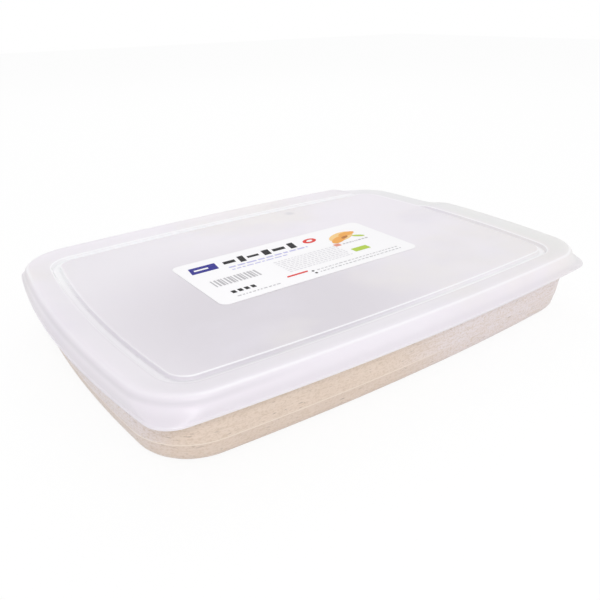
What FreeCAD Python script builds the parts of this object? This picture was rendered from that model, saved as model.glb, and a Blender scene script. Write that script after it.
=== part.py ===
"""Flat airtight food container: a shallow tray, a translucent press-on lid and a stuck-on label.

Millimetres, +Z up. The origin is on the table under the middle of the tray, X runs along the long side.
An inset is how far in from a plan a point lies; a negative one lies outside it.
"""
import FreeCAD, Part
import math
import os
from FreeCAD import Vector

# Plan of the lid, measured along its shoulder: a rounded rectangle with bowed sides
PLAN_LENGTH = 272.8
PLAN_WIDTH = 194.2
LONG_SIDE_BOW = 5.1
SHORT_SIDE_BOW = 8.3
PLAN_CORNER = 28.5

# Plan of the tray, measured along the top of its wall: its corners are rounder
TRAY_PAST_ENDS = 1.25       # how far the tray's wall lies outside the lid's plan at the ends
TRAY_INSIDE_SIDES = 1.15    # and inside it at the long sides
TRAY_LONG_BOW = 6.55
TRAY_SHORT_BOW = 7.0
TRAY_CORNER = 33.4

# Tray
TRAY_HEIGHT = 32.8          # table to the top of the rim
TRAY_WALL = 1.5
TRAY_FLOOR = 1.6
WALL_LEAN = 2.2             # how much further in the wall is at the crease than at its top
CREASE_RISE = 3.6           # the crease lies this far above the bottom radius
CREASE_STEP = 0.4
LOWER_LEAN = 1.7            # how much the wall leans in below the crease
BOTTOM_RADIUS = 7.5
RIM_BEAD_OUT = 0.6
RIM_BEAD_HEIGHT = 1.7
FOOT_HEIGHT = 0.8
FOOT_WIDTH = 2.4
FOOT_DRAFT = 0.3
GATE_RADIUS = 2.0           # stub that the moulding gate leaves under the floor
GATE_HEIGHT = 0.4

# Lid
LID_WALL = 1.25
SHOULDER_RISE = 6.8         # rim of the tray up to the sharp corner that the shoulder is rounded from
SHOULDER_OUT = 1.2
SHOULDER_RADIUS = 3.4
SHOULDER_BAND = 0.6         # straight wall under the rounding, above the skirt
SHOULDER_LEAN = 1.2
PANEL_DROP = 2.8            # sharp shoulder corner down to the panel
RIM_WIDTH = 13.5            # sharp shoulder corner in to the groove
GROOVE_WIDTH = 5.1
GROOVE_DEPTH = 2.0
GROOVE_DRAFT = 0.8
GROOVE_EDGE = 0.5
SKIRT_DROP = 3.8            # rim of the tray down to the skirt's lower edge
SKIRT_OUT_ENDS = 2.9        # the skirt's lower edge, squarer and wider than the shoulder
SKIRT_OUT_SIDES = 3.8
SKIRT_EXTRA_BOW = 1.4
SKIRT_CORNER = 14.5
SKIRT_BEAD_OUT = 0.5
SKIRT_BEAD_HEIGHT = 1.0
SEAT_OUTER = -1.3           # ledge that lands on the tray's rim, as insets
SEAT_INNER = 0.5
RIM_UNDERSIDE = 5.6         # inset where the flat underside of the rim starts to slope down to the groove
RIB_WIDTH = 1.2
RIB_DEPTH = 4.0             # how far the sealing rib reaches into the tray
SEAL_CLEARANCE = 0.3

# Lift corner at +X +Y, where the rim dips so that a thumb can get at the skirt
DIP_MARGIN = 0.5            # the slope starts over the groove's floor, this far in from its wall
DIP_STEP = 0.15             # and this far above that floor
DIP_CLEARANCE = 0.3         # its underside over the tray's rim
DIP_ALONG_SIDE = 44.4       # where the ramp on the long side starts, back from the plan's corner
DIP_ALONG_END = 91.1        # and the ramp on the short side
SIDE_RAMP = 36.0
END_RAMP = 42.0

# Label
LABEL_LENGTH = 138.0
LABEL_WIDTH = 62.0
LABEL_CORNER = 5.0
LABEL_THICKNESS = 0.2
LABEL_ALONG = -4.3          # from the middle of the panel
LABEL_ACROSS = -1.0

# How a section's roundings are cut into chords
CHORD_TURN = math.radians(30)
SMALLEST_ARC = 1.0          # a smaller rounding is one chord

# Lengths, heights and insets that follow from the sizes above
TRAY_LENGTH = PLAN_LENGTH + 2 * TRAY_PAST_ENDS
TRAY_WIDTH = PLAN_WIDTH - 2 * TRAY_INSIDE_SIDES
FLOOR_Z = FOOT_HEIGHT + TRAY_FLOOR
CREASE_Z = FOOT_HEIGHT + BOTTOM_RADIUS + CREASE_RISE
SHOULDER_Z = TRAY_HEIGHT + SHOULDER_RISE
PANEL_Z = SHOULDER_Z - PANEL_DROP
GROOVE_Z = PANEL_Z - GROOVE_DEPTH
SKIRT_Z = TRAY_HEIGHT - SKIRT_DROP
WALL_FOOT_INSET = WALL_LEAN + CREASE_STEP + LOWER_LEAN
GROOVE_OUTER = RIM_WIDTH - SHOULDER_OUT
GROOVE_INNER = GROOVE_OUTER + GROOVE_WIDTH
MIDDLE_INSET = PLAN_CORNER      # well in on the flat floor and panel


def outline(length, width, long_bow, short_bow, corner):
    """Rounded rectangle with bowed sides: its eight tangent arcs, anticlockwise from the +X side.

    Each arc is its centre, its radius, and the angles in degrees where it starts and ends.
    """
    half_x, half_y = length / 2, width / 2
    long_radius = (half_x ** 2 + long_bow ** 2) / (2 * long_bow)
    short_radius = (half_y ** 2 + short_bow ** 2) / (2 * short_bow)
    long_centre = Vector(0, half_y + long_bow - long_radius, 0)
    short_centre = Vector(half_x + short_bow - short_radius, 0, 0)
    # A corner arc touches both sides from inside, so its centre lies on a circle round each side's centre
    apart = short_centre - long_centre
    reach_long, reach_short = long_radius - corner, short_radius - corner
    along = (reach_long ** 2 - reach_short ** 2 + apart.Length ** 2) / (2 * apart.Length)
    across = math.sqrt(reach_long ** 2 - along ** 2)
    unit = apart / apart.Length
    centre = long_centre + unit * along + Vector(unit.y, -unit.x, 0) * across
    short_turn = math.degrees(math.atan2(centre.y, centre.x - short_centre.x))
    long_turn = math.degrees(math.atan2(centre.x, centre.y - long_centre.y))

    def corner_at(x_sign, y_sign):
        return Vector(centre.x * x_sign, centre.y * y_sign, 0)

    return [(short_centre, short_radius, -short_turn, short_turn),
            (corner_at(1, 1), corner, short_turn, 90 - long_turn),
            (long_centre, long_radius, 90 - long_turn, 90 + long_turn),
            (corner_at(-1, 1), corner, 90 + long_turn, 180 - short_turn),
            (-short_centre, short_radius, 180 - short_turn, 180 + short_turn),
            (corner_at(-1, -1), corner, 180 + short_turn, 270 - long_turn),
            (-long_centre, long_radius, 270 - long_turn, 270 + long_turn),
            (corner_at(1, -1), corner, 270 + long_turn, 360 - short_turn)]


def loop(plan, inset, z):
    """Closed wire of the plan moved in by inset, at height z."""
    up = Vector(0, 0, 1)
    return Part.Wire([Part.makeCircle(radius - inset, centre + up * z, up, start, end)
                      for centre, radius, start, end in plan])


def loop_through(plan, point):
    """Loop that a point of the section draws when it is carried round the plan."""
    return loop(plan, -point.x, point.z)


def section(rows):
    """Points through (inset, z, radius) rows, in the XZ plane, with each corner rounded by its radius."""
    corners = [Vector(-inset, 0, z) for inset, z, radius in rows]
    points = [corners[0]]
    for before, here, after, row in zip(corners, corners[1:], corners[2:], rows[1:]):
        points += rounding(before, here, after, row[2]) if row[2] else [here]
    return points + [corners[-1]]


def rounding(before, here, after, radius):
    """Points along the arc that rounds the corner at here, a chord apart."""
    back, on = (before - here).normalize(), (after - here).normalize()
    half = back.getAngle(on) / 2
    centre = here + (back + on).normalize() * (radius / math.sin(half))
    spoke = here + back * (radius / math.tan(half)) - centre
    turn = math.copysign(math.pi - 2 * half, -back.cross(on).y)
    chords = 1 if radius < SMALLEST_ARC else math.ceil(abs(turn) / CHORD_TURN)
    across = Vector(0, 1, 0)
    return [centre + FreeCAD.Rotation(across, math.degrees(turn * step / chords)) * spoke
            for step in range(chords + 1)]


def swept(plan, points):
    """Faces of a section carried round the plan: each arc of the plan turns it about its own centre."""
    faces = []
    up = Vector(0, 0, 1)
    for centre, radius, start, end in plan:
        for one, other in zip(points, points[1:]):
            edge = Part.makeLine(one, other)
            edge.translate(centre + Vector(radius, 0, 0))
            edge.rotate(centre, up, start)
            faces += edge.revolve(centre, up, end - start).Faces
    return faces


def bridged(loops):
    """Ruled faces from each loop to the next, for a band that changes plan on its way."""
    return [Part.makeRuledSurface(one, other)
            for lower, upper in zip(loops, loops[1:]) for one, other in zip(lower.Edges, upper.Edges)]


def closed(faces, first, last):
    """Solid from the faces of a wall and the two flat loops that end it."""
    shell = Part.makeShell(faces + [Part.Face(first), Part.Face(last)])
    shell.sewShape()
    solid = Part.makeSolid(shell)
    if solid.Volume < 0:
        solid.reverse()
    return solid


def flat_ring(outer, inner):
    """Flat face between two loops at one height, where a section passes from one plan to the other."""
    return Part.makeFace([outer, inner], "Part::FaceMakerBullseye")


def tray(plan, tray_plan):
    """The foot ring, which follows the lid's plan, and the wall, closed by the floor, with the gate's stub."""
    foot, wall = foot_section(), section(wall_rows())[1:-1]
    underside = flat_ring(loop_through(tray_plan, wall[0]), loop_through(plan, foot[-1]))
    body = closed(swept(plan, foot) + [underside] + swept(tray_plan, wall),
                  loop_through(plan, foot[0]), loop_through(tray_plan, wall[-1]))
    stub_z = FOOT_HEIGHT - GATE_HEIGHT
    stub = Part.makeCylinder(GATE_RADIUS, GATE_HEIGHT + TRAY_FLOOR / 2, Vector(0, 0, stub_z))
    return body.fuse(stub).Solids[0]


def foot_section():
    """The foot ring, centred on the lid's groove, which takes it when containers are stacked."""
    middle = (GROOVE_OUTER + GROOVE_INNER) / 2
    outer, inner = middle - FOOT_WIDTH / 2, middle + FOOT_WIDTH / 2
    return section([(inner, FOOT_HEIGHT, 0), (inner - FOOT_DRAFT, 0, 0),
                    (outer + FOOT_DRAFT, 0, 0), (outer, FOOT_HEIGHT, 0)])


def wall_rows():
    """The tray's wall: bottom radius, crease, beaded rim, and the inner face down to the floor.

    The first and last rows are there for the directions of the underside and the floor.
    """
    bead_z = TRAY_HEIGHT - RIM_BEAD_HEIGHT
    rim_edge = RIM_BEAD_OUT / 2
    inner_radius = BOTTOM_RADIUS - max(TRAY_WALL, TRAY_FLOOR)
    return [(MIDDLE_INSET, FOOT_HEIGHT, 0), (WALL_FOOT_INSET, FOOT_HEIGHT, BOTTOM_RADIUS),
            (WALL_LEAN + CREASE_STEP, CREASE_Z, 0), (WALL_LEAN, CREASE_Z, 0), (0, bead_z, 0),
            (-RIM_BEAD_OUT, bead_z, 0), (-RIM_BEAD_OUT, TRAY_HEIGHT, rim_edge),
            (TRAY_WALL, TRAY_HEIGHT, 0), (WALL_FOOT_INSET + TRAY_WALL, FLOOR_Z, inner_radius),
            (MIDDLE_INSET, FLOOR_Z, 0)]


def lid(plan, tray_plan):
    """The lid's wall, with the lift corner's dip taken off and closed by a wall of the same thickness."""
    skirt = outline(PLAN_LENGTH + 2 * SKIRT_OUT_ENDS, PLAN_WIDTH + 2 * SKIRT_OUT_SIDES,
                    LONG_SIDE_BOW + SKIRT_EXTRA_BOW, SHORT_SIDE_BOW + SKIRT_EXTRA_BOW, SKIRT_CORNER)
    outer_skirt = skirt_loops(plan, skirt)
    lower_edge = outer_skirt[-1]
    inner_skirt = [lower_edge, loop(skirt, SKIRT_BEAD_OUT + LID_WALL, SKIRT_Z),
                   loop(plan, SEAT_OUTER, TRAY_HEIGHT)]
    top, seat, rib, under = section(lid_top_rows())[1:], seat_section(), rib_section(), under_section()
    outside = swept(plan, top) + bridged(outer_skirt)
    inside = bridged(inner_skirt) + swept(plan, seat) + swept(tray_plan, rib) + swept(plan, under)
    inside += [flat_ring(loop_through(plan, seat[-1]), loop_through(tray_plan, rib[0])),
               flat_ring(loop_through(tray_plan, rib[-1]), loop_through(plan, under[0]))]
    panel = loop_through(plan, top[0])
    shell = closed(outside + inside, panel, loop_through(plan, under[-1]))
    filled = closed(outside, panel, lower_edge)
    dip = lift_dip(plan)
    lower_dip = dip.copy()
    lower_dip.translate(Vector(0, 0, -LID_WALL))
    return shell.cut(dip).fuse(filled.common(lower_dip).cut(dip)).Solids[0]


def skirt_loops(plan, skirt):
    """Outer face of the skirt, from the foot of the shoulder to the bead along its lower edge."""
    bead_z = SKIRT_Z + SKIRT_BEAD_HEIGHT
    return [loop(plan, -SHOULDER_OUT - SHOULDER_LEAN, shoulder_foot()),
            loop(skirt, SKIRT_BEAD_OUT, bead_z + SKIRT_BEAD_OUT),
            loop(skirt, 0, bead_z), loop(skirt, 0, SKIRT_Z)]


def shoulder_foot():
    return SHOULDER_Z - SHOULDER_RADIUS - SHOULDER_BAND


def lid_top_rows():
    """Upper face from the panel out across the groove and the rim, and over the shoulder.

    The first row is there for the direction of the panel.
    """
    return [(MIDDLE_INSET, PANEL_Z, 0), (GROOVE_INNER, PANEL_Z, GROOVE_EDGE),
            (GROOVE_INNER - GROOVE_DRAFT, GROOVE_Z, 0), (GROOVE_OUTER + GROOVE_DRAFT, GROOVE_Z, 0),
            (GROOVE_OUTER, PANEL_Z, GROOVE_EDGE), (-SHOULDER_OUT, SHOULDER_Z, SHOULDER_RADIUS),
            (-SHOULDER_OUT - SHOULDER_LEAN, shoulder_foot(), 0)]


def rim_z(inset):
    """Height of the sloping rim, which rises from the groove to the shoulder."""
    return SHOULDER_Z - (inset + SHOULDER_OUT) * PANEL_DROP / RIM_WIDTH


def rim_underside_z():
    return rim_z(RIM_UNDERSIDE) - LID_WALL


def seat_section():
    """The ledge on the tray's rim and the step inside it, up to the rim's underside."""
    return section([(SEAT_OUTER, TRAY_HEIGHT, 0), (SEAT_INNER, TRAY_HEIGHT, 0),
                    (SEAT_INNER, rim_underside_z(), 0)])


def rib_section():
    """The sealing rib, which follows the tray's plan just inside the tray's wall."""
    lean = WALL_FOOT_INSET / (TRAY_HEIGHT - FLOOR_Z)
    outer = TRAY_WALL + lean * RIB_DEPTH + SEAL_CLEARANCE
    inner = outer + RIB_WIDTH
    rib_z = TRAY_HEIGHT - RIB_DEPTH
    return section([(outer, rim_underside_z(), 0), (outer, rib_z, 0),
                    (inner, rib_z, 0), (inner, rim_underside_z(), 0)])


def under_section():
    """Lower face of the lid inside the rib, under the rim and the groove and in to the panel."""
    outer, inner = GROOVE_OUTER - LID_WALL, GROOVE_INNER + LID_WALL
    floor_z = GROOVE_Z - LID_WALL
    return section([(RIM_UNDERSIDE, rim_underside_z(), 0), (outer, rim_z(outer) - LID_WALL, 0),
                    (outer + GROOVE_DRAFT, floor_z, 0), (inner - GROOVE_DRAFT, floor_z, 0),
                    (inner, PANEL_Z - LID_WALL, 0)])


def lift_dip(plan):
    """What is taken off the rim at the lift corner: a slope falling outward, between a ramp on each side."""
    start = GROOVE_OUTER + GROOVE_DRAFT + DIP_MARGIN
    start_z = GROOVE_Z + DIP_STEP
    fall = (start_z - LID_WALL - TRAY_HEIGHT - DIP_CLEARANCE) / (start - SEAT_OUTER)
    end = start - 2 * RIM_WIDTH
    end_z, high_z = start_z - fall * (start - end), SHOULDER_Z + PANEL_DROP
    slope = [Vector(-start, 0, high_z), Vector(-start, 0, start_z), Vector(-end, 0, end_z)]
    under = closed(swept(plan, slope), loop_through(plan, slope[0]), loop_through(plan, slope[-1]))
    side_start, end_start = PLAN_LENGTH / 2 - DIP_ALONG_SIDE, PLAN_WIDTH / 2 - DIP_ALONG_END
    along_x = above_ramp(side_start, SIDE_RAMP, end_z).extrude(Vector(0, PLAN_WIDTH, 0))
    along_y = above_ramp(end_start, END_RAMP, end_z).extrude(Vector(0, -PLAN_LENGTH, 0))
    along_y.rotate(Vector(0, 0, 0), Vector(0, 0, 1), 90)
    return along_x.common(along_y).cut(under)


def above_ramp(start, run, low):
    """Face in the XZ plane above an S-shaped ramp of two arcs, from the shoulder's height down to low."""
    half_run, half_fall = run / 2, (SHOULDER_Z - low) / 2
    radius = (half_run ** 2 + half_fall ** 2) / (2 * half_fall)
    half_turn = math.asin(half_run / radius) / 2
    x, z = radius * math.sin(half_turn), radius * (1 - math.cos(half_turn))
    top, foot = Vector(start, 0, SHOULDER_Z), Vector(start + run, 0, low)
    middle = (top + foot) / 2
    ramp = [Part.Arc(top, top + Vector(x, 0, -z), middle), Part.Arc(middle, foot + Vector(-x, 0, z), foot)]
    far, high = start + PLAN_LENGTH, SHOULDER_Z + SHOULDER_RISE
    rest = Part.makePolygon([foot, Vector(far, 0, low), Vector(far, 0, high), Vector(start, 0, high), top])
    return Part.Face(Part.Wire([arc.toShape() for arc in ramp] + rest.Edges))


def label():
    corner = Vector(LABEL_ALONG - LABEL_LENGTH / 2, LABEL_ACROSS - LABEL_WIDTH / 2, PANEL_Z)
    sheet = Part.makeBox(LABEL_LENGTH, LABEL_WIDTH, LABEL_THICKNESS, corner)
    upright = [edge for edge in sheet.Edges if abs(edge.tangentAt(edge.FirstParameter).z) > 0.9]
    return sheet.makeFillet(LABEL_CORNER, upright)


def main():
    plan = outline(PLAN_LENGTH, PLAN_WIDTH, LONG_SIDE_BOW, SHORT_SIDE_BOW, PLAN_CORNER)
    tray_plan = outline(TRAY_LENGTH, TRAY_WIDTH, TRAY_LONG_BOW, TRAY_SHORT_BOW, TRAY_CORNER)
    os.makedirs("parts", exist_ok=True)
    for name, shape in (("tray", tray(plan, tray_plan)), ("lid", lid(plan, tray_plan)), ("label", label())):
        volume = round(shape.Volume / 1000, 2)
        print(name, "solids", len(shape.Solids), "valid", shape.isValid(), "cm3", volume)
        shape.exportStep("parts/" + name + ".step")


main()
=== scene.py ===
"""Looks of the flat airtight food container: frosted lid, beige tray and printed label.

Blender works in metres, +Z up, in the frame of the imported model. The shapes are worked out in
millimetres, from the same sizes as the part's source, and scaled once when a mesh is made.
An inset is how far in from a plan a point lies; a negative one lies outside it.
"""

import math
import random

import bpy
from mathutils import Matrix, Vector

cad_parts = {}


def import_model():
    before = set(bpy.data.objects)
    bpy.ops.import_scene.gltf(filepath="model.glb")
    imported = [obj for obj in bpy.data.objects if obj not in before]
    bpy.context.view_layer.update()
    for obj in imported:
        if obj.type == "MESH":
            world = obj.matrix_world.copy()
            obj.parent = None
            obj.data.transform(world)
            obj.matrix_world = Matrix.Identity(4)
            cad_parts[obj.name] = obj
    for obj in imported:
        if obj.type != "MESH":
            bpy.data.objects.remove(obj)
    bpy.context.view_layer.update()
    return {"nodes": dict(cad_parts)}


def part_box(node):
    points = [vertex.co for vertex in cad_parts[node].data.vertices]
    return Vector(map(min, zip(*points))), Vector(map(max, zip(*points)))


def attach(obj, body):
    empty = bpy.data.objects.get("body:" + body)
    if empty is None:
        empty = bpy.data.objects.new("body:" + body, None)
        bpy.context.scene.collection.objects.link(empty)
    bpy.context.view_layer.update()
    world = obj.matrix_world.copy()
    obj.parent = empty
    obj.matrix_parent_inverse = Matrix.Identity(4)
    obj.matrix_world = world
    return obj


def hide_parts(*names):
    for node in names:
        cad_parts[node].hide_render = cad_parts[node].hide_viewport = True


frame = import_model()
MM = 0.001

# Camera, from the perspective of the photographed edges
CAMERA_PLACE = (-0.2042, -0.2828, 0.1717)
CAMERA_YAW = math.radians(35.41)        # from +Y towards +X
CAMERA_PITCH = math.radians(25.24)      # down
CAMERA_ROLL = math.radians(-1.02)
CAMERA_LENS = 37.288
CAMERA_SENSOR = 36.0

# Light
WORLD_LEVEL = 0.78
KEY_PLACE = (-0.42, -1.02, 0.95)
KEY_SIZE = 0.3
KEY_POWER = 5.2
BACK_PLACE = (0.5, 0.9, 1.0)
BACK_SIZE = 0.9
BACK_POWER = 2.0
LAMP_TARGET = (0, 0, 0.02)
WHITE = (1, 1, 1, 1)
FLOOR_SIZE = 6.0
FLOOR_GLOW = 0.9                        # share of the floor's colour that the light doesn't change
BACKGROUND_RAYS = ("Is Camera Ray", "Is Glossy Ray", "Is Transmission Ray")

# Plans: length, width, bow of the long sides, bow of the short sides, corner radius
LID_PLAN = (272.8, 194.2, 5.1, 8.3, 28.5)
SKIRT_PLAN = (278.6, 201.8, 6.5, 9.7, 14.5)
TRAY_PLAN = (275.3, 191.9, 6.55, 7.0, 33.4)
SIDE_STEPS, END_STEPS, CORNER_STEPS = 72, 48, 20

# Tray
TRAY_HEIGHT = 32.8
TRAY_WALL = 1.5
FLOOR_Z = 2.4
WALL_LEAN = 2.2
CREASE_Z = 11.9
CREASE_STEP = 0.4
WALL_FOOT_INSET = 4.3
BOTTOM_RADIUS = 7.5
FLOOR_RADIUS = 5.9
RIM_BEAD_OUT = 0.6
RIM_BEAD_Z = 31.1
FOOT_Z = 0.8
FOOT_OUTER, FOOT_INNER = 13.65, 16.05
FOOT_DRAFT = 0.3
GATE_RADIUS, GATE_HEIGHT = 2.0, 0.4
GATE_CHAMFER = 0.15
GATE_STEPS = 32

# Lid
LID_WALL = 1.25
PANEL_Z = 36.8
SHOULDER_Z = 39.6
SHOULDER_OUT = 1.2
SHOULDER_RADIUS = 3.4
SHOULDER_LEAN = 1.2
SHOULDER_FOOT_Z = 35.6
RIM_WIDTH = 13.5
RIM_STEPS = (9.6, 7.2, 4.8, 2.5)        # insets of the points between the groove and the shoulder
GROOVE_Z = 34.8
GROOVE_OUTER, GROOVE_INNER = 12.3, 17.4
GROOVE_DRAFT = 0.8
GROOVE_EDGE = 0.6
GROOVE_FILLET = 0.5
SKIRT_Z = 29.0
FLARE_BEND = 2.0                        # how far the shoulder's direction is kept below its foot
FLARE_STEPS = 6
SKIRT_BEAD_OUT = 0.5
SKIRT_BEAD_HEIGHT = 1.0
SEAT_OUTER, SEAT_INNER = -1.3, 0.5
RIM_UNDERSIDE = 5.6
RIB_WIDTH = 1.2
RIB_DEPTH = 4.0
SEAL_CLEARANCE = 0.3

# The lift corner at +X +Y, where the rim dips
DIP_SIDE_START, DIP_SIDE_RAMP = 92.0, 36.0
DIP_END_START, DIP_END_RAMP = 6.0, 42.0
DIP_START, DIP_START_Z = 13.6, 34.95
DIP_FALL = 0.0403                       # per millimetre outward
DIP_LOW = 33.86
DIP_EDGE_RADIUS = 0.9                   # the shoulder's rounding where the rim is lowest
DIP_SOFTNESS = 0.5

# Roundings
ROUND_CHORDS = 6
ROUNDING_ROOM = 0.8                     # share of the shorter side that a rounding may take
STRAIGHT = math.radians(89)             # half the angle of a corner that is too flat to round
SMALL_RADIUS = 0.25
FLAT_MARGIN = 1.5                       # flat ring next to a rounding, so that the flat stays flat in light
SMOOTH_ANGLE = math.radians(35)

# Label
LABEL_LOW, LABEL_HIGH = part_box("label")
PRINT_GAP = 0.03                        # height of the ink over the label, in millimetres
OVAL_STEPS = 28


def rgb(red, green, blue):
    """Linear colour of display values from 0 to 255."""
    def linear(value):
        value /= 255
        return value / 12.92 if value <= 0.04045 else ((value + 0.055) / 1.055) ** 2.4
    return (linear(red), linear(green), linear(blue), 1.0)


LID_COLOUR = rgb(235, 230, 237)
# painted shade at the middle of the panel, where the tray's inside shows through
LID_MIDDLE_SHADE = rgb(213, 208, 215)
LID_WARM = rgb(233, 228, 226)
LID_LILAC = rgb(224, 219, 230)
# painted shade on the shoulder and the skirt
LID_SHADE = rgb(211, 207, 213)
LID_SMUDGE = rgb(196, 194, 200)
# painted light and highlights in the groove and along the lid's edges
LID_PAINTED_LIGHT = rgb(250, 249, 252)
LID_CORNER = rgb(226, 230, 227)
TRAY_BEIGE = rgb(225, 208, 194)
TRAY_PINK = rgb(228, 219, 221)
# painted light along the tray's top, where the lid's skirt shades it
TRAY_TOP_LIGHT = rgb(236, 229, 223)
TRAY_FOOT = rgb(217, 201, 190)
TRAY_STREAK = rgb(200, 180, 160)
TRAY_SPECK = rgb(140, 122, 108)
# painted highlight on the tray's crease
CREASE_HIGHLIGHT = rgb(238, 226, 214)
LABEL_WHITE = rgb(246, 245, 247)
INK = {
    "navy": rgb(40, 38, 140),
    "black": rgb(22, 20, 24),
    "red": rgb(222, 62, 55),
    "coral": rgb(226, 150, 128),
    "lavender": rgb(196, 194, 232),
    "grey": rgb(190, 188, 192),
    "pale_grey": rgb(222, 220, 224),
    "orange": rgb(238, 170, 84),
    "amber": rgb(244, 205, 140),
    "brown": rgb(186, 122, 62),
    "lime": rgb(178, 205, 72),
    "white": LABEL_WHITE,
}

# Finishes: the sockets of each plastic's shader, and each bump's distance in metres and its strength
PLASTIC_IOR = 1.45
LID_FINISH = {"Roughness": 0.38, "Subsurface_Weight": 0.5, "Subsurface_Radius": (1.0, 0.95, 0.97),
              "Subsurface_Scale": 0.0025}
TRAY_FINISH = {"Roughness": 0.42, "Subsurface_Weight": 0.2, "Subsurface_Radius": (1.0, 0.85, 0.7),
               "Subsurface_Scale": 0.0015}
LABEL_FINISH = {"Roughness": 0.35}
INK_FINISH = {"Roughness": 0.6, "Specular_IOR_Level": 0.15}
LID_BUMP = (0.00002, 0.5)
TRAY_BUMP = (0.00004, 0.5)
LABEL_BUMP = (0.0002, 0.3)

# Uneven tones: a noise, the range of its values over which it shows, and how strongly
LID_CLOUDS = {"scale": 11.0, "shows": (0.5, 0.72), "strength": 0.7}
LID_LILAC_CLOUDS = {"stretch": (1, 1.4, 1), "scale": 17.0, "detail": 4.0, "shows": (0.5, 0.75),
                    "strength": 0.4}
LID_GRAIN = {"scale": 900.0, "detail": 4.0}
TRAY_STREAKS = {"stretch": (1, 1, 30), "scale": 45.0, "detail": 6.0, "roughness": 0.7, "shows": (0.46, 0.7)}
TRAY_STREAK_STRENGTH = 0.45
TRAY_GRAIN = {"stretch": (1, 1, 1.6), "scale": 700.0, "roughness": 0.7, "shows": (0.45, 0.65),
              "strength": 0.55}
TRAY_SPECKS = {"stretch": (0.5, 0.5, 3.0), "scale": 420.0, "detail": 2.0, "shows": (0.66, 0.74),
               "strength": 0.6}
LABEL_RIPPLE = {"scale": 45.0, "detail": 2.0}
INK_GRAIN = {"scale": 1500.0, "detail": 2.0, "shows": (0.35, 0.75), "strength": 0.06}

# Tones by place. Along the lid's section, distances run outward from the panel and are in millimetres, as
# the middles and widths of bands there are. Places are in metres. A pair says where a tone starts and where
# it is full, and a pair of strengths belongs to those two ends.
MIDDLE_PLACE = (-0.055, -0.05)          # middle of the panel's painted shade, where it is darkest
MIDDLE_PALES = (0.03, 0.12)             # by distance from that place
# painted light: the rim paler than the panel
RIM_PALES, RIM_PALENESS = (8.0, 11.0), 0.85
SMUDGE_PLACE = (0.0415, 0.0738)         # a faint grey mark on the panel
SMUDGE_SHOWS, SMUDGE_STRENGTH = (0.005, 0.001), 0.45
CORNER_X, CORNER_ALONG, CORNER_STRENGTH = (0.1, 0.14), (8.0, 14.0), 0.45
NEAR_MIDDLE, NEAR_WIDTH = -0.01, 0.17   # painted light on a stretch of the near rim, in metres
NEAR_Y, NEAR_ALONG, NEAR_STRENGTH = (-0.06, -0.08), (2.0, 9.0), 0.1
# painted shade on the shoulder's face at the left
SHOULDER_BAND, SHOULDER_BAND_WIDTH = 24.6, 5.0
SHOULDER_BAND_X, SHOULDER_BAND_STRENGTH = (-0.06, -0.12), 0.5
# painted shade, darker down the skirt where the tray's rim shows through it
SKIRT_DARKENS, SKIRT_STRENGTH = (24.0, 37.0), 0.38

# Light that gathers in the lid's groove and along its edges. The lines fade at the near left.
GROOVE_FILL, GROOVE_FILL_WIDTH = 4.8, 7.5
GROOVE_FILL_X, GROOVE_FILL_STRENGTHS = (-0.13, 0.115), (0.5, 1.0)
BRIGHT_LINES = (                        # middle, width, strength
    (1.5, 1.4, 0.9),                    # the panel's edge
    (9.2, 1.5, 0.8),                    # the groove's outer edge
    (21.8, 2.6, 0.6),                   # the shoulder
    (44.5, 2.4, 0.6),                   # the skirt's bead
)
LINES_X, LINES_STRENGTHS = (-0.13, -0.113), (0.3, 1.0)
LINES_Y = (0.03, 0.07)
FAR_WALL, FAR_WALL_WIDTH = 5.2, 11.0    # the groove's wall that faces the camera on the far side
FAR_WALL_Y, FAR_WALL_GAIN = (0.02, 0.07), 1.8

# Tones of the tray, which is pinker to the right of its middle and at its left end
PINK_RIGHT, PINK_LEFT = (-0.03, 0.03), (-0.126, -0.142)
BELOW_CREASE = ((CREASE_Z + 0.1) * MM, (CREASE_Z - 0.4) * MM)
BELOW_CREASE_X, BELOW_CREASE_STRENGTHS = (0.05, -0.02), (0.15, 0.6)
# painted light along the tray's top, under the lid's skirt
TOP_PALES, TOP_PALENESS = (0.0245, 0.0285), 0.7
# painted highlight on the crease
CREASE_LINE, CREASE_LINE_WIDTH = (CREASE_Z + 0.45) * MM, 1.1 * MM
CREASE_LINE_X, CREASE_LINE_STRENGTH = (0.04, -0.02), 0.8

# Print on the label: a generic layout of colour fields and simple shapes, in the label's own millimetres
# from its near left corner
DASH_SEED = 11
DASH_LENGTHS = (0.35, 1.0)              # as shares of a row's longest dash
DASH_ROOM = 1                           # a row ends where less than this is left of it
HEADING_MIDDLE, HEADING_SLANT = 50, 0.2
# Marks of the heading: left, length, width
HEADING_MARKS = ((28, 8, 4), (38, 4, 9), (44.5, 8, 3), (55, 5, 8), (62.5, 9, 4), (74, 4.5, 9))
STRIPES, STRIPE_PITCH, STRIPE_LENGTH = 14, 2.1, 9
STRIPES_LEFT, STRIPES_LOW = 9, 22
STRIPE_WIDTHS = (0.9, 1.25, 1.6)
CHIPS_LEFT, CHIPS_LOW = (12, 16, 20, 24), 10
CHIP_LENGTH, CHIP_WIDTH = 2.6, 3.4
ROWS, ROWS_TOP, ROW_PITCH = 8, 32, 2.4
PRINT_BARS = [                          # ink, left, low, length, width, slant, layer
    ("navy", 6, 45, 17, 9, 1.5),
    ("white", 9, 48.4, 9, 2.0, 0.4, 1),
    ("coral", 98, 31, 4.5, 4.0),
    ("lime", 102, 17, 12, 5.5),
    ("red", 46, 9.5, 14, 1.8, 1.0),
]
PRINT_BARS += [("black", left, HEADING_MIDDLE - width / 2, length, width, width * HEADING_SLANT)
               for left, length, width in HEADING_MARKS]
PRINT_BARS += [("grey", STRIPES_LEFT + stripe * STRIPE_PITCH, STRIPES_LOW,
                STRIPE_WIDTHS[stripe % len(STRIPE_WIDTHS)], STRIPE_LENGTH) for stripe in range(STRIPES)]
PRINT_BARS += [("black", left, CHIPS_LOW, CHIP_LENGTH, CHIP_WIDTH) for left in CHIPS_LEFT]
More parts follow.
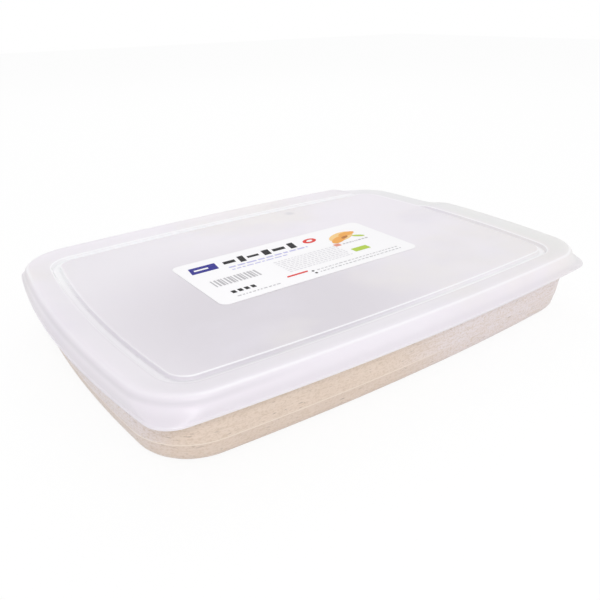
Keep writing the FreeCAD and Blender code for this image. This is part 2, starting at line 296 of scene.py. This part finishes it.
PRINT_OVALS = (                         # ink, middle x and y, half length, half width, turn, layer
    ("red", 91, 50, 5.2, 3.6, 0.25),
    ("white", 91, 50, 2.4, 1.5, 0.25, 1),
    ("amber", 112, 44, 11, 6.0, 0.35),
    ("orange", 107, 40, 7.5, 3.4, 0.5, 1),
    ("orange", 118, 46, 6.5, 3.0, 0.1, 1),
    ("lime", 122, 38.5, 4.2, 1.6, -0.6, 1),
    ("brown", 113, 41.5, 3.4, 1.5, 0.4, 2),
    ("black", 63, 8.7, 0.9, 0.9),
    ("black", 63, 5.4, 0.9, 0.9),
)
PRINT_DASHES = [                        # ink, left, right, low, width, longest dash, gap
    ("lavender", 28, 84, 41.5, 1.8, 7, 1.2),
    ("lavender", 28, 66, 38, 1.2, 5, 1.0),
]
PRINT_DASHES += [("pale_grey", 52, 98, ROWS_TOP - row * ROW_PITCH, 1.0, 3.2, 0.8) for row in range(ROWS)]
PRINT_DASHES += [
    ("grey", 104, 126, 31.5, 1.4, 2.4, 0.7),
    ("grey", 66, 128, 5.0, 0.9, 2.6, 0.9),
    ("grey", 66, 128, 8.2, 0.9, 2.6, 0.9),
    ("grey", 12, 40, 5.2, 1.0, 2.4, 0.9),
]


# Plans and sections

def plan(length, width, long_bow, short_bow, corner):
    """Rounded rectangle with bowed sides, as stations: an arc's centre, its radius and an angle."""
    half_x, half_y = length / 2, width / 2
    long_radius = (half_x ** 2 + long_bow ** 2) / (2 * long_bow)
    short_radius = (half_y ** 2 + short_bow ** 2) / (2 * short_bow)
    long_centre = Vector((0, half_y + long_bow - long_radius))
    short_centre = Vector((half_x + short_bow - short_radius, 0))
    # A corner arc touches both sides from inside, so its centre lies on a circle round each side's centre
    apart = short_centre - long_centre
    reach_long, reach_short = long_radius - corner, short_radius - corner
    along = (reach_long ** 2 - reach_short ** 2 + apart.length ** 2) / (2 * apart.length)
    across = math.sqrt(reach_long ** 2 - along ** 2)
    unit = apart.normalized()
    centre = long_centre + unit * along + Vector((unit.y, -unit.x)) * across
    short_turn = math.atan2(centre.y, centre.x - short_centre.x)
    long_turn = math.atan2(centre.x, centre.y - long_centre.y)
    square = math.pi / 2
    stations = []
    for half, turned in ((1, 0), (-1, math.pi)):
        first, second = centre * half, Vector((-centre.x, centre.y)) * half
        stations += arc(short_centre * half, short_radius, turned - short_turn, turned + short_turn,
                        END_STEPS)
        stations += arc(first, corner, turned + short_turn, turned + square - long_turn, CORNER_STEPS)
        stations += arc(long_centre * half, long_radius, turned + square - long_turn,
                        turned + square + long_turn, SIDE_STEPS)
        stations += arc(second, corner, turned + square + long_turn, turned + math.pi - short_turn,
                        CORNER_STEPS)
    return stations


def arc(centre, radius, start, end, steps):
    """Stations along an arc, without its last one, which starts the next arc."""
    return [(centre, radius, start + (end - start) * step / steps) for step in range(steps)]


def at(station, inset, z):
    """Point at a station, at an inset from the plan and a height."""
    centre, radius, angle = station
    reach = radius - inset
    return Vector((centre.x + reach * math.cos(angle), centre.y + reach * math.sin(angle), z))


def inset_of(station, point):
    """How far in from the plan a point of this station lies."""
    centre, radius, _ = station
    return radius - (point.xy - centre).length


def rounded(corners):
    """Points of a line through (point, radius) corners, each corner rounded by its radius."""
    points = [corners[0][0]]
    for (before, _), (here, radius), (after, _) in zip(corners, corners[1:], corners[2:]):
        points += rounding(before, here, after, radius) if radius else [here]
    return points + [corners[-1][0]]


def rounding(before, here, after, radius):
    """Points of the arc that rounds one corner, or of a straight line where it is nearly flat."""
    back, on = before - here, after - here
    room = ROUNDING_ROOM * min(back.length, on.length)
    back.normalize()
    on.normalize()
    half = back.angle(on) / 2
    reach = min(radius / math.tan(half), room)
    first, last = here + back * reach, here + on * reach
    shares = [step / ROUND_CHORDS for step in range(ROUND_CHORDS + 1)]
    if half > STRAIGHT:
        return [first.lerp(last, share) for share in shares]
    centre = here + (back + on).normalized() * (reach / math.cos(half))
    spoke, end_spoke = first - centre, last - centre
    turn = spoke.angle(end_spoke)

    def swung(share):
        return (spoke * math.sin((1 - share) * turn) + end_spoke * math.sin(share * turn)) / math.sin(turn)
    return [centre + swung(share) for share in shares]


def smooth_step(value):
    """0 to 1 along two arcs of a parabola."""
    value = min(max(value, 0), 1)
    return 2 * value * value if value < 0.5 else 1 - 2 * (1 - value) ** 2


def lower_of(one, other):
    """The lower of two heights, rounded over where they meet."""
    share = min(max(0.5 + 0.5 * (other - one) / DIP_SOFTNESS, 0), 1)
    return other + (one - other) * share - DIP_SOFTNESS * share * (1 - share)


def dip_z(station, point):
    """Height that the lift corner's dip leaves at a point: a slope falling outward between two ramps."""
    drop = SHOULDER_Z - DIP_LOW
    side = SHOULDER_Z - drop * smooth_step((point.x - DIP_SIDE_START) / DIP_SIDE_RAMP)
    end = SHOULDER_Z - drop * smooth_step((point.y - DIP_END_START) / DIP_END_RAMP)
    slope = DIP_START_Z - DIP_FALL * (DIP_START - inset_of(station, point))
    return -lower_of(-max(side, end), -slope)


def rim_z(inset):
    """Height of the rim's upper face, which falls from the shoulder to the groove."""
    return SHOULDER_Z - (inset + SHOULDER_OUT) * (SHOULDER_Z - PANEL_Z) / RIM_WIDTH


def lowered(station, point, wall=0):
    """The point, no higher than the dip, less the wall for a point of the lower face."""
    limit = dip_z(station, point) - wall
    if limit > point.z + DIP_SOFTNESS:
        return point
    return Vector((point.x, point.y, lower_of(point.z, limit)))


def on_line(points, z):
    """Point at height z on a line that falls from one point to the next."""
    for upper, lower in zip(points, points[1:]):
        if z >= lower.z:
            return upper.lerp(lower, min((upper.z - z) / (upper.z - lower.z), 1))
    return points[-1]


# Lid

def lid_corners(station, skirt, tray):
    """The lid's section at one station, from the panel out over the rim and back under it.

    Each row is a point and its rounding.
    """
    bead_z = SKIRT_Z + SKIRT_BEAD_HEIGHT
    outer_face = [at(station, -SHOULDER_OUT, SHOULDER_Z),
                  at(station, -SHOULDER_OUT - SHOULDER_LEAN, SHOULDER_FOOT_Z),
                  at(skirt, SKIRT_BEAD_OUT, bead_z + SKIRT_BEAD_OUT)]
    shoulder_z = min(dip_z(station, outer_face[1]), SHOULDER_Z)
    dipped = (SHOULDER_Z - shoulder_z) / (SHOULDER_Z - DIP_LOW)
    radius = SHOULDER_RADIUS + (DIP_EDGE_RADIUS - SHOULDER_RADIUS) * dipped
    foot_z = min(SHOULDER_FOOT_Z, shoulder_z - 2 * DIP_EDGE_RADIUS)
    top = [(at(station, GROOVE_INNER + FLAT_MARGIN, PANEL_Z), 0),
           (at(station, GROOVE_INNER, PANEL_Z), GROOVE_EDGE),
           (at(station, GROOVE_INNER - GROOVE_DRAFT, GROOVE_Z), GROOVE_FILLET),
           (at(station, GROOVE_OUTER + GROOVE_DRAFT, GROOVE_Z), GROOVE_FILLET),
           (lowered(station, at(station, GROOVE_OUTER, PANEL_Z)), GROOVE_EDGE)]
    top += [(lowered(station, at(station, inset, rim_z(inset))), 0) for inset in RIM_STEPS]
    foot = on_line(outer_face, foot_z)
    edge = [(on_line(outer_face, shoulder_z), radius), (foot, 0)]
    edge += [(point, 0) for point in flare(outer_face, foot)]
    edge += [(outer_face[2], SKIRT_BEAD_OUT), (at(skirt, 0, bead_z), SMALL_RADIUS),
            (at(skirt, 0, SKIRT_Z), SMALL_RADIUS),
            (at(skirt, SKIRT_BEAD_OUT + LID_WALL, SKIRT_Z), SMALL_RADIUS)]
    return top + edge + lid_underside(station, tray)


def flare(outer_face, foot):
    """Points of the soft curve by which the skirt leaves the shoulder's foot."""
    shoulder, shoulder_foot, edge = outer_face
    bend = foot + (shoulder_foot - shoulder).normalized() * FLARE_BEND
    points = []
    for step in range(1, FLARE_STEPS):
        share = step / FLARE_STEPS
        points.append(foot.lerp(bend, share).lerp(bend.lerp(edge, share), share))
    return points


def lid_underside(station, tray):
    """The ledge on the tray's rim, the sealing rib, and the lower face in to the panel."""
    under_z = rim_z(RIM_UNDERSIDE) - LID_WALL
    lean = WALL_FOOT_INSET / (TRAY_HEIGHT - FLOOR_Z)
    rib_outer = TRAY_WALL + lean * RIB_DEPTH + SEAL_CLEARANCE
    rib_inner = rib_outer + RIB_WIDTH
    rib_z = TRAY_HEIGHT - RIB_DEPTH
    outer, inner = GROOVE_OUTER - LID_WALL, GROOVE_INNER + LID_WALL
    floor_z = GROOVE_Z - LID_WALL
    seat = [(at(station, SEAT_OUTER, TRAY_HEIGHT), SMALL_RADIUS), (at(station, SEAT_INNER, TRAY_HEIGHT), 0),
            (at(station, SEAT_INNER, under_z), SMALL_RADIUS)]
    rib = [(at(tray, rib_outer, under_z), SMALL_RADIUS), (at(tray, rib_outer, rib_z), SMALL_RADIUS),
           (at(tray, rib_inner, rib_z), SMALL_RADIUS), (at(tray, rib_inner, under_z), SMALL_RADIUS)]
    rest = [(at(station, RIM_UNDERSIDE, under_z), 0), (at(station, outer, rim_z(outer) - LID_WALL), 0),
            (at(station, outer + GROOVE_DRAFT, floor_z), GROOVE_FILLET),
            (at(station, inner - GROOVE_DRAFT, floor_z), GROOVE_FILLET),
            (at(station, inner, PANEL_Z - LID_WALL), GROOVE_EDGE),
            (at(station, inner + FLAT_MARGIN, PANEL_Z - LID_WALL), 0)]
    return [(lowered(station, point, LID_WALL), radius) for point, radius in seat + rib + rest]


def lid_sections():
    return [rounded(lid_corners(*stations))
            for stations in zip(plan(*LID_PLAN), plan(*SKIRT_PLAN), plan(*TRAY_PLAN))]


# Tray

def tray_corners(lid_station, station):
    """The tray's section: underside, foot ring, wall with its crease and beaded rim, inner face, floor."""
    foot = [(at(lid_station, FOOT_INNER + FLAT_MARGIN, FOOT_Z), 0),
            (at(lid_station, FOOT_INNER, FOOT_Z), SMALL_RADIUS),
            (at(lid_station, FOOT_INNER - FOOT_DRAFT, 0), SMALL_RADIUS),
            (at(lid_station, FOOT_OUTER + FOOT_DRAFT, 0), SMALL_RADIUS),
            (at(lid_station, FOOT_OUTER, FOOT_Z), SMALL_RADIUS)]
    outside = [(at(station, WALL_FOOT_INSET, FOOT_Z), BOTTOM_RADIUS),
               (at(station, WALL_LEAN + CREASE_STEP, CREASE_Z), SMALL_RADIUS),
               (at(station, WALL_LEAN, CREASE_Z), SMALL_RADIUS),
               (at(station, 0, RIM_BEAD_Z), SMALL_RADIUS),
               (at(station, -RIM_BEAD_OUT, RIM_BEAD_Z), SMALL_RADIUS),
               (at(station, -RIM_BEAD_OUT, TRAY_HEIGHT), RIM_BEAD_OUT / 2)]
    inside = [(at(station, TRAY_WALL, TRAY_HEIGHT), RIM_BEAD_OUT / 2),
              (at(station, WALL_FOOT_INSET + TRAY_WALL, FLOOR_Z), FLOOR_RADIUS),
              (at(station, WALL_FOOT_INSET + TRAY_WALL + FLOOR_RADIUS + FLAT_MARGIN, FLOOR_Z), 0)]
    return foot + outside + inside


def tray_sections():
    return [rounded(tray_corners(*stations)) for stations in zip(plan(*LID_PLAN), plan(*TRAY_PLAN))]


# Meshes

def carried_round(name, sections, material):
    """Closed mesh of a section carried round a plan, with a flat face over each of its two end loops."""
    rows, count = len(sections[0]), len(sections)
    points = [point * MM for section in sections for point in section]
    faces = []
    for station in range(count):
        here, there = station * rows, (station + 1) % count * rows
        faces += [(here + row, here + row + 1, there + row + 1, there + row) for row in range(rows - 1)]
    faces.append([station * rows for station in range(count)])
    faces.append([station * rows + rows - 1 for station in reversed(range(count))])
    return mesh_object(name, points, faces, material)


def circle(steps):
    """Points of a circle of radius 1, anticlockwise."""
    return [(math.cos(2 * math.pi * step / steps), math.sin(2 * math.pi * step / steps))
            for step in range(steps)]


def along_section(thing, rows):
    """Stores how far each point lies along the section from its first point, in millimetres."""
    mesh = thing.data
    reach = [0.0]
    for row in range(1, rows):
        step = (mesh.vertices[row].co - mesh.vertices[row - 1].co).length / MM
        reach.append(reach[-1] + step)
    values = mesh.attributes.new("along", "FLOAT", "POINT")
    for index in range(len(mesh.vertices)):
        values.data[index].value = reach[index % rows]


def mesh_object(name, points, faces, material):
    mesh = bpy.data.meshes.new(name)
    mesh.from_pydata(points, [], faces)
    mesh.materials.append(material)
    thing = bpy.data.objects.new(name, mesh)
    bpy.context.scene.collection.objects.link(thing)
    return thing


def smoothed(thing):
    mesh = thing.data
    mesh.shade_smooth()
    mesh.set_sharp_from_angle(angle=SMOOTH_ANGLE)
    weighted = thing.modifiers.new("flat faces stay flat", "WEIGHTED_NORMAL")
    weighted.keep_sharp = True


# Materials

class Nodes:
    """Node tree of a material or world, with calls that add a node and join sockets in one line."""

    MIX_INPUTS, MIX_OUTPUT = (0, 6, 7), 2       # the mix node's sockets for colours

    def __init__(self, owner, output="ShaderNodeOutputMaterial"):
        owner.use_nodes = True
        self.owner = owner
        self.tree = owner.node_tree
        self.tree.nodes.clear()
        self.output = self.add(output)

    def add(self, kind, settings=None, **sockets):
        """Adds a node. An underscore in a socket's name stands for a space."""
        node = self.tree.nodes.new(kind)
        for name, value in (settings or {}).items():
            setattr(node, name, value)
        for name, value in sockets.items():
            self.put(node, name.replace("_", " "), value)
        return node

    def put(self, node, socket, value):
        """Sets a socket to a value, or joins it to another node's socket."""
        if isinstance(value, bpy.types.NodeSocket):
            self.tree.links.new(value, node.inputs[socket])
        else:
            node.inputs[socket].default_value = value

    def place(self):
        return self.add("ShaderNodeTexCoord").outputs["Object"]

    def axis(self, name):
        return self.add("ShaderNodeSeparateXYZ", Vector=self.place()).outputs[name]

    def attribute(self, name):
        return self.add("ShaderNodeAttribute", {"attribute_name": name}).outputs["Fac"]

    def noise(self, scale, stretch=(1, 1, 1), detail=3.0, roughness=0.5):
        mapping = self.add("ShaderNodeMapping", Vector=self.place(), Scale=stretch)
        node = self.add("ShaderNodeTexNoise", Vector=mapping.outputs["Vector"], Scale=scale, Detail=detail,
                        Roughness=roughness)
        return node.outputs["Fac"]

    def spots(self, shows, strength=1.0, **pattern):
        """A noise, from 0 to its strength over the range of values where it shows."""
        return self.range(self.noise(**pattern), *shows, 0.0, strength)

    def math(self, operation, *values):
        node = self.add("ShaderNodeMath", {"operation": operation})
        for index, value in enumerate(values):
            self.put(node, index, value)
        return node.outputs[0]

    def range(self, value, low, high, to_low=0.0, to_high=1.0):
        """Maps value from low..high to to_low..to_high, and stops at the ends."""
        node = self.add("ShaderNodeMapRange", {"interpolation_type": "SMOOTHSTEP"}, Value=value,
                        From_Min=low, From_Max=high, To_Min=to_low, To_Max=to_high)
        return node.outputs["Result"]

    def band(self, value, middle, width):
        """1 at the middle, falling to 0 at half the width on each side."""
        away = self.math("ABSOLUTE", self.math("SUBTRACT", value, middle))
        return self.range(away, 0, width / 2, 1, 0)

    def away(self, place):
        """Distance in plan from a place."""
        squares = [self.math("POWER", self.math("SUBTRACT", self.axis(name), middle), 2.0)
                   for name, middle in zip("XY", place)]
        return self.math("SQRT", self.math("ADD", *squares))

    def mix(self, share, one, other):
        node = self.add("ShaderNodeMix", {"data_type": "RGBA"})
        for index, value in zip(self.MIX_INPUTS, (share, one, other)):
            self.put(node, index, value)
        return node.outputs[self.MIX_OUTPUT]

    def over(self, colour, tint, *shares):
        """The colour with a tint laid over it, by the product of the shares."""
        share = shares[0]
        for factor in shares[1:]:
            share = self.math("MULTIPLY", share, factor)
        return self.mix(share, colour, tint)

    def bump(self, height, distance, strength):
        node = self.add("ShaderNodeBump", Height=height, Distance=distance, Strength=strength)
        return node.outputs["Normal"]

    def seen(self):
        """1 for what the camera sees, straight or by a mirror or glass, and 0 for light on the object."""
        paths = self.add("ShaderNodeLightPath")
        share = 0.0
        for name in BACKGROUND_RAYS:
            share = self.math("MAXIMUM", share, paths.outputs[name])
        return share

    def show(self, shader):
        self.tree.links.new(shader.outputs[0], self.output.inputs["Surface"])
        return self.owner

    def show_mixed(self, share, one, other):
        mixed = self.add("ShaderNodeMixShader", Fac=share)
        for index, shader in ((1, one), (2, other)):
            self.put(mixed, index, shader.outputs[0])
        return self.show(mixed)

    def show_plastic(self, colour, finish, **more):
        return self.show(self.add("ShaderNodeBsdfPrincipled", Base_Color=colour, IOR=PLASTIC_IOR, **finish,
                                  **more))


def lid_material():
    """Frosted translucent plastic."""
    nodes = Nodes(bpy.data.materials.new("lid_plastic"))
    along = nodes.attribute("along")
    x, y = nodes.axis("X"), nodes.axis("Y")
    colour = lid_lines(nodes, lid_tones(nodes, along, x, y), along, x, y)
    return nodes.show_plastic(colour, LID_FINISH, Normal=nodes.bump(nodes.noise(**LID_GRAIN), *LID_BUMP))


def lid_tones(nodes, along, x, y):
    """The lid's colour without its lines: darker at the middle, the shoulder and the skirt by painted
    shade, and paler at the rim and the near rim by painted light.
    """
    # painted shade at the panel's middle, painted light on the rim
    paler = nodes.math("MAXIMUM", nodes.range(nodes.away(MIDDLE_PLACE), *MIDDLE_PALES),
                       nodes.range(along, *RIM_PALES, 0.0, RIM_PALENESS))
    colour = nodes.mix(paler, LID_MIDDLE_SHADE, LID_COLOUR)
    colour = nodes.over(colour, LID_WARM, nodes.spots(**LID_CLOUDS))
    colour = nodes.over(colour, LID_LILAC, nodes.spots(**LID_LILAC_CLOUDS))
    colour = nodes.over(colour, LID_SMUDGE, nodes.range(nodes.away(SMUDGE_PLACE), *SMUDGE_SHOWS),
                        SMUDGE_STRENGTH)
    colour = nodes.over(colour, LID_CORNER, nodes.range(x, *CORNER_X), nodes.range(along, *CORNER_ALONG),
                        CORNER_STRENGTH)
    # painted light on a stretch of the near rim
    colour = nodes.over(colour, LID_PAINTED_LIGHT, nodes.band(x, NEAR_MIDDLE, NEAR_WIDTH), nodes.range(y, *NEAR_Y),
                        nodes.range(along, *NEAR_ALONG), NEAR_STRENGTH)
    # painted shade on the shoulder's face
    colour = nodes.over(colour, LID_SHADE, nodes.band(along, SHOULDER_BAND, SHOULDER_BAND_WIDTH),
                        nodes.range(x, *SHOULDER_BAND_X), SHOULDER_BAND_STRENGTH)
    # painted shade down the skirt
    return nodes.over(colour, LID_SHADE, nodes.range(along, *SKIRT_DARKENS), SKIRT_STRENGTH)


def lid_lines(nodes, colour, along, x, y):
    """The colour with the light that gathers in the groove and along the edges."""
    colour = nodes.over(colour, LID_PAINTED_LIGHT, nodes.band(along, GROOVE_FILL, GROOVE_FILL_WIDTH),
                        nodes.range(x, *GROOVE_FILL_X, *GROOVE_FILL_STRENGTHS))
    fading = nodes.math("MAXIMUM", nodes.range(x, *LINES_X, *LINES_STRENGTHS), nodes.range(y, *LINES_Y))
    for middle, width, strength in BRIGHT_LINES:
        colour = nodes.over(colour, LID_PAINTED_LIGHT, nodes.band(along, middle, width), fading, strength)
    far_wall = nodes.math("MULTIPLY", nodes.band(along, FAR_WALL, FAR_WALL_WIDTH), FAR_WALL_GAIN)
    return nodes.over(colour, LID_PAINTED_LIGHT, nodes.math("MINIMUM", far_wall, 1.0), nodes.range(y, *FAR_WALL_Y))


def tray_material():
    """Beige plastic with fine lengthwise streaks, pinker at both ends, painted light along its top and a
    painted highlight on the crease.
    """
    nodes = Nodes(bpy.data.materials.new("tray_plastic"))
    x, height = nodes.axis("X"), nodes.axis("Z")
    pinker = nodes.math("MAXIMUM", nodes.range(x, *PINK_RIGHT), nodes.range(x, *PINK_LEFT))
    colour = nodes.mix(pinker, TRAY_BEIGE, TRAY_PINK)
    colour = nodes.over(colour, TRAY_FOOT, nodes.range(height, *BELOW_CREASE),
                        nodes.range(x, *BELOW_CREASE_X, *BELOW_CREASE_STRENGTHS))
    # painted light along the top, where the lid's skirt shades it
    colour = nodes.over(colour, TRAY_TOP_LIGHT, nodes.range(height, *TOP_PALES), TOP_PALENESS)
    streaks = nodes.spots(**TRAY_STREAKS)
    colour = nodes.over(colour, TRAY_STREAK, streaks, TRAY_STREAK_STRENGTH)
    colour = nodes.over(colour, TRAY_STREAK, nodes.spots(**TRAY_GRAIN))
    colour = nodes.over(colour, TRAY_SPECK, nodes.spots(**TRAY_SPECKS))
    # painted highlight on the crease
    colour = nodes.over(colour, CREASE_HIGHLIGHT, nodes.band(height, CREASE_LINE, CREASE_LINE_WIDTH),
                        nodes.range(x, *CREASE_LINE_X), CREASE_LINE_STRENGTH)
    return nodes.show_plastic(colour, TRAY_FINISH, Normal=nodes.bump(streaks, *TRAY_BUMP))


def label_material():
    """White printed film with a slight ripple."""
    nodes = Nodes(bpy.data.materials.new("label_film"))
    ripple = nodes.bump(nodes.noise(**LABEL_RIPPLE), *LABEL_BUMP)
    return nodes.show_plastic(LABEL_WHITE, LABEL_FINISH, Normal=ripple)


def ink_material(name, colour):
    """Print on the label: its colour with a fine uneven dot grain."""
    nodes = Nodes(bpy.data.materials.new(name))
    return nodes.show_plastic(nodes.over(colour, LABEL_WHITE, nodes.spots(**INK_GRAIN)), INK_FINISH)


def floor_material():
    """Pale floor that is white to the camera and still keeps the object's shadow."""
    nodes = Nodes(bpy.data.materials.new("floor_white"))
    plain = nodes.add("ShaderNodeBsdfDiffuse", Color=WHITE)
    glow = nodes.add("ShaderNodeEmission", Color=WHITE, Strength=1.0)
    return nodes.show_mixed(nodes.math("MULTIPLY", nodes.seen(), FLOOR_GLOW), plain, glow)


# Print

class Print:
    """Flat shapes on the label, gathered into one mesh for each ink and layer."""

    def __init__(self):
        self.sheets = {}
        self.draw = random.Random(DASH_SEED)

    def shape(self, ink, points, layer=0):
        """A flat shape from its outline, anticlockwise."""
        corners, faces = self.sheets.setdefault((ink, layer), ([], []))
        start = len(corners)
        corners += points
        faces.append(list(range(start, start + len(points))))

    def bar(self, ink, left, low, length, width, slant=0.0, layer=0):
        self.shape(ink, [(left, low), (left + length, low), (left + length + slant, low + width),
                         (left + slant, low + width)], layer)

    def oval(self, ink, x, y, half_length, half_width, turn=0.0, layer=0):
        outline = []
        for across, along in circle(OVAL_STEPS):
            out, up = half_length * across, half_width * along
            outline.append((x + out * math.cos(turn) - up * math.sin(turn),
                            y + out * math.sin(turn) + up * math.cos(turn)))
        self.shape(ink, outline, layer)

    def dashes(self, ink, left, right, low, width, longest, gap):
        """A row of short dashes of uneven length."""
        x = left
        while x < right - DASH_ROOM:
            length = min(self.draw.uniform(*DASH_LENGTHS) * longest, right - x)
            self.bar(ink, x, low, length, width)
            x += length + gap

    def lay(self):
        """Makes the meshes and lays them on the label."""
        left, near, top = LABEL_LOW[0], LABEL_LOW[1], LABEL_HIGH[2]
        for (ink, layer), (corners, faces) in sorted(self.sheets.items()):
            height = top + PRINT_GAP * (1 + layer) * MM
            points = [(left + x * MM, near + y * MM, height) for x, y in corners]
            name = "print_" + ink + ("" if layer == 0 else "_" + str(layer))
            sheet = mesh_object(name, points, faces, ink_material("ink_" + name, INK[ink]))
            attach(sheet, "lid")


def label_print():
    """Lays the bars, the ovals and the rows of dashes."""
    sheet = Print()
    for bar in PRINT_BARS:
        sheet.bar(*bar)
    for oval in PRINT_OVALS:
        sheet.oval(*oval)
    for row in PRINT_DASHES:
        sheet.dashes(*row)
    sheet.lay()


# Stage

def floor():
    half = FLOOR_SIZE / 2
    corners = [(-half, -half, 0), (half, -half, 0), (half, half, 0), (-half, half, 0)]
    mesh_object("floor", corners, [(0, 1, 2, 3)], floor_material())


def world():
    """Even white light from all round, seen as white where the camera looks past the floor."""
    nodes = Nodes(bpy.data.worlds.new("studio"), "ShaderNodeOutputWorld")
    light = nodes.add("ShaderNodeBackground", Color=WHITE, Strength=WORLD_LEVEL)
    backdrop = nodes.add("ShaderNodeBackground", Color=WHITE, Strength=1.0)
    bpy.context.scene.world = nodes.show_mixed(nodes.seen(), light, backdrop)


def lamp(name, place, size, power):
    light = bpy.data.lights.new(name, "AREA")
    light.shape = "DISK"
    light.size = size
    light.energy = power
    thing = bpy.data.objects.new(name, light)
    thing.location = place
    thing.rotation_euler = (Vector(LAMP_TARGET) - Vector(place)).to_track_quat("-Z", "Y").to_euler()
    bpy.context.scene.collection.objects.link(thing)


def camera():
    lens = bpy.data.cameras.new("camera")
    lens.lens, lens.sensor_width = CAMERA_LENS, CAMERA_SENSOR
    thing = bpy.data.objects.new("camera", lens)
    turn = (Matrix.Rotation(-CAMERA_YAW, 4, "Z") @ Matrix.Rotation(math.pi / 2 - CAMERA_PITCH, 4, "X")
            @ Matrix.Rotation(CAMERA_ROLL, 4, "Z"))
    thing.matrix_world = Matrix.Translation(CAMERA_PLACE) @ turn
    bpy.context.scene.collection.objects.link(thing)
    bpy.context.scene.camera = thing


# The object

def lid():
    sections = lid_sections()
    shell = carried_round("lid_shell", sections, lid_material())
    along_section(shell, len(sections[0]))
    smoothed(shell)
    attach(shell, "lid")
    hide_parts("lid")


def tray():
    material = tray_material()
    shell = carried_round("tray_shell", tray_sections(), material)
    smoothed(shell)
    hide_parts("tray")
    for piece in (shell, gate_stub(material)):
        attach(piece, "tray")


def gate_stub(material):
    """The stub that the moulding gate leaves under the floor."""
    low = FOOT_Z - GATE_HEIGHT
    levels = ((GATE_RADIUS, FOOT_Z + TRAY_WALL / 2), (GATE_RADIUS, low + GATE_CHAMFER),
              (GATE_RADIUS - GATE_CHAMFER, low))
    corners = [Vector((x * radius, y * radius, z)) * MM
               for radius, z in levels for x, y in circle(GATE_STEPS)]
    rings = range(0, len(corners), GATE_STEPS)
    faces = [list(range(GATE_STEPS)), list(reversed(range(rings[-1], len(corners))))]
    for upper, lower in zip(rings, rings[1:]):
        for step in range(GATE_STEPS):
            after = (step + 1) % GATE_STEPS
            faces.append((upper + step, lower + step, lower + after, upper + after))
    stub = mesh_object("gate_stub", corners, faces, material)
    smoothed(stub)
    return stub


def label():
    mesh = frame["nodes"]["label"].data
    mesh.materials.clear()
    mesh.materials.append(label_material())
    label_print()


camera()
world()
floor()
lamp("key", KEY_PLACE, KEY_SIZE, KEY_POWER)
lamp("back", BACK_PLACE, BACK_SIZE, BACK_POWER)
tray()
lid()
label()
bpy.context.scene.view_settings.view_transform = "Standard"
